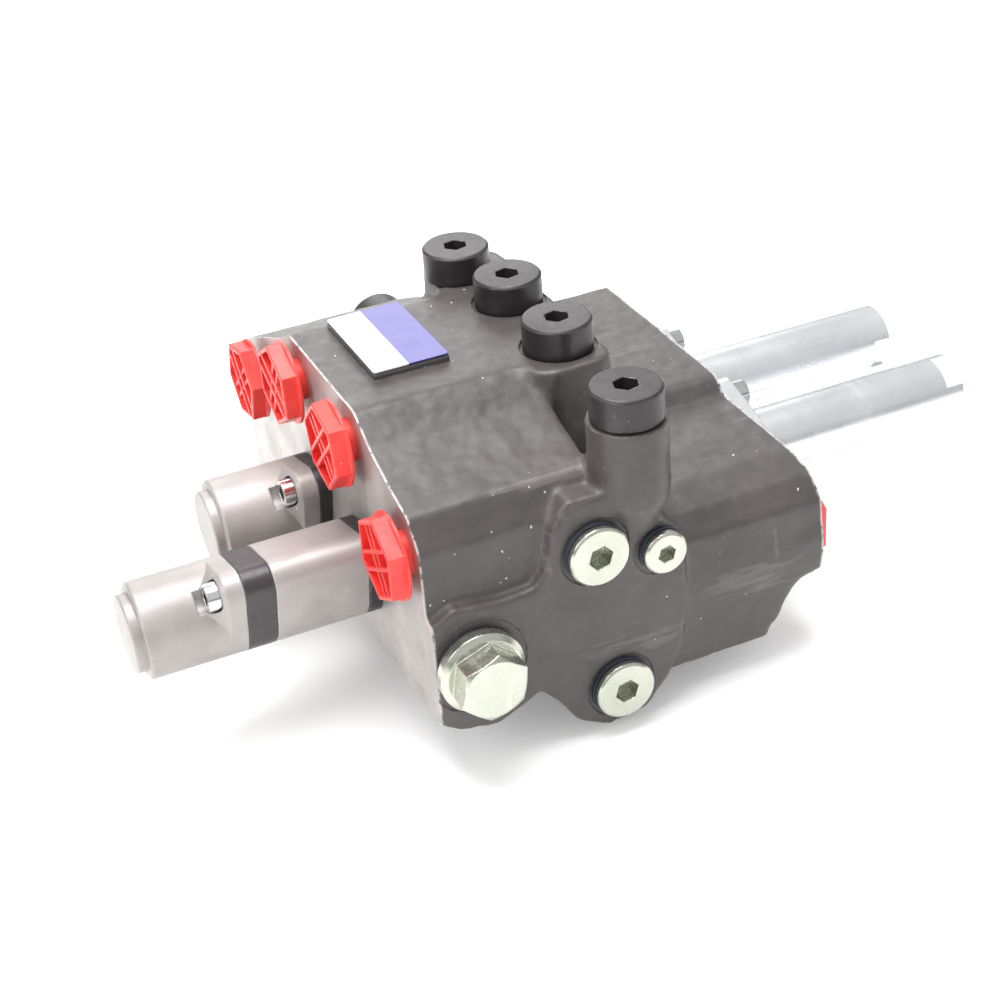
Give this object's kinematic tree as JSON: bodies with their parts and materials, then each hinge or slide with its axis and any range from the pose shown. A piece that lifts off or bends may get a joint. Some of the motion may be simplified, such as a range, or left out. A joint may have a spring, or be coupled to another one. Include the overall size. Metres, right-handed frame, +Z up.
{
  "type": "hydraulic directional control valve",
  "caption": "Cast iron monoblock spool valve with spring-centred spools, screwed plugs, a relief cartridge and tubular cable remote sleeves.",
  "frame": {"origin": "centre of the four mounting feet, in the plane they stand on", "axes": "+X along the spools, from the end caps to the cable sleeves; +Y from the relief valve's side to the far side; +Z up, away from the mounting face"},
  "size_m": [0.3321, 0.218, 0.131],
  "materials": {
    "cast_iron_black": "satin",
    "label_foil": "satin",
    "red_plastic": "gloss",
    "black_oxide_steel": "satin",
    "zinc_plated_steel": "satin",
    "cast_aluminium": "satin",
    "seal_rubber": "matte",
    "ground_steel": "gloss",
    "spring_steel": "satin"
  },
  "bodies": {
    "valve_casting": {"back_gallery_plug": "black_oxide_steel", "cable_sleeve_far": "zinc_plated_steel", "cable_sleeve_near": "zinc_plated_steel", "cap_screws_far": "zinc_plated_steel", "cap_screws_near": "zinc_plated_steel", "centring_housing": "cast_aluminium", "check_plug_far": "black_oxide_steel", "check_plug_near": "black_oxide_steel", "cover_plate_far": "black_oxide_steel", "cover_plate_near": "black_oxide_steel", "detent_balls": "ground_steel", "detent_garter_spring": "spring_steel", "detent_ring": "black_oxide_steel", "detent_sleeve": "ground_steel", "end_cap_far": "cast_aluminium", "end_cap_near": "cast_aluminium", "gallery_plug_far": "black_oxide_steel", "gallery_plug_lower": "zinc_plated_steel", "gallery_plug_near": "black_oxide_steel", "gallery_plug_upper": "zinc_plated_steel", "inlet_port_plug": "red_plastic", "label_plate": "label_foil", "pilot_plug": "zinc_plated_steel", "plug_seals": "seal_rubber", "port_plug_a1": "red_plastic", "port_plug_a2": "red_plastic", "port_plug_b1": "red_plastic", "port_plug_b2": "red_plastic", "relief_adjuster": "ground_steel", "relief_cap": "zinc_plated_steel", "relief_seat": "ground_steel", "relief_washer": "seal_rubber", "return_port_plug": "red_plastic", "sleeve_screws": "zinc_plated_steel", "spool_seals_far": "seal_rubber", "spool_seals_near": "seal_rubber", "valve_body": "cast_iron_black"},
    "near_spool": {"spool_near": "ground_steel", "detent_rod": "ground_steel", "spring_collar_near": "ground_steel", "cable_link_near": "ground_steel", "inner_spring_near": "spring_steel", "outer_spring_near": "spring_steel"},
    "far_spool": {"spool_far": "ground_steel", "centring_bolt": "ground_steel", "spring_collar_far": "ground_steel", "cable_link_far": "ground_steel", "inner_spring_far": "spring_steel", "outer_spring_far": "spring_steel"},
    "relief_poppet": {"relief_poppet": "ground_steel", "relief_spring": "spring_steel"},
    "check_poppet_near": {"check_poppet_near": "ground_steel", "check_spring_near": "spring_steel"},
    "check_poppet_far": {"check_poppet_far": "ground_steel", "check_spring_far": "spring_steel"}
  },
  "joints": [
    {"name": "near_spool_slide", "type": "slide", "parent": "valve_casting", "child": "near_spool", "axis": [1, 0, 0], "range_m": [-0.007, 0.007], "stiffness_N_per_m": 9000, "deforming": ["inner_spring_near", "outer_spring_near"]},
    {"name": "far_spool_slide", "type": "slide", "parent": "valve_casting", "child": "far_spool", "axis": [1, 0, 0], "range_m": [-0.007, 0.007], "stiffness_N_per_m": 9000, "deforming": ["inner_spring_far", "outer_spring_far"]},
    {"name": "relief_poppet_lift", "type": "slide", "parent": "valve_casting", "child": "relief_poppet", "axis": [0, -1, 0], "range_m": [0, 0.002], "stiffness_N_per_m": 20000, "deforming": ["relief_spring"]},
    {"name": "check_poppet_near_lift", "type": "slide", "parent": "valve_casting", "child": "check_poppet_near", "axis": [0, 0, 1], "range_m": [0, 0.004], "stiffness_N_per_m": 400, "deforming": ["check_spring_near"]},
    {"name": "check_poppet_far_lift", "type": "slide", "parent": "valve_casting", "child": "check_poppet_far", "axis": [0, 0, 1], "range_m": [0, 0.004], "stiffness_N_per_m": 400, "deforming": ["check_spring_far"]}
  ]
}
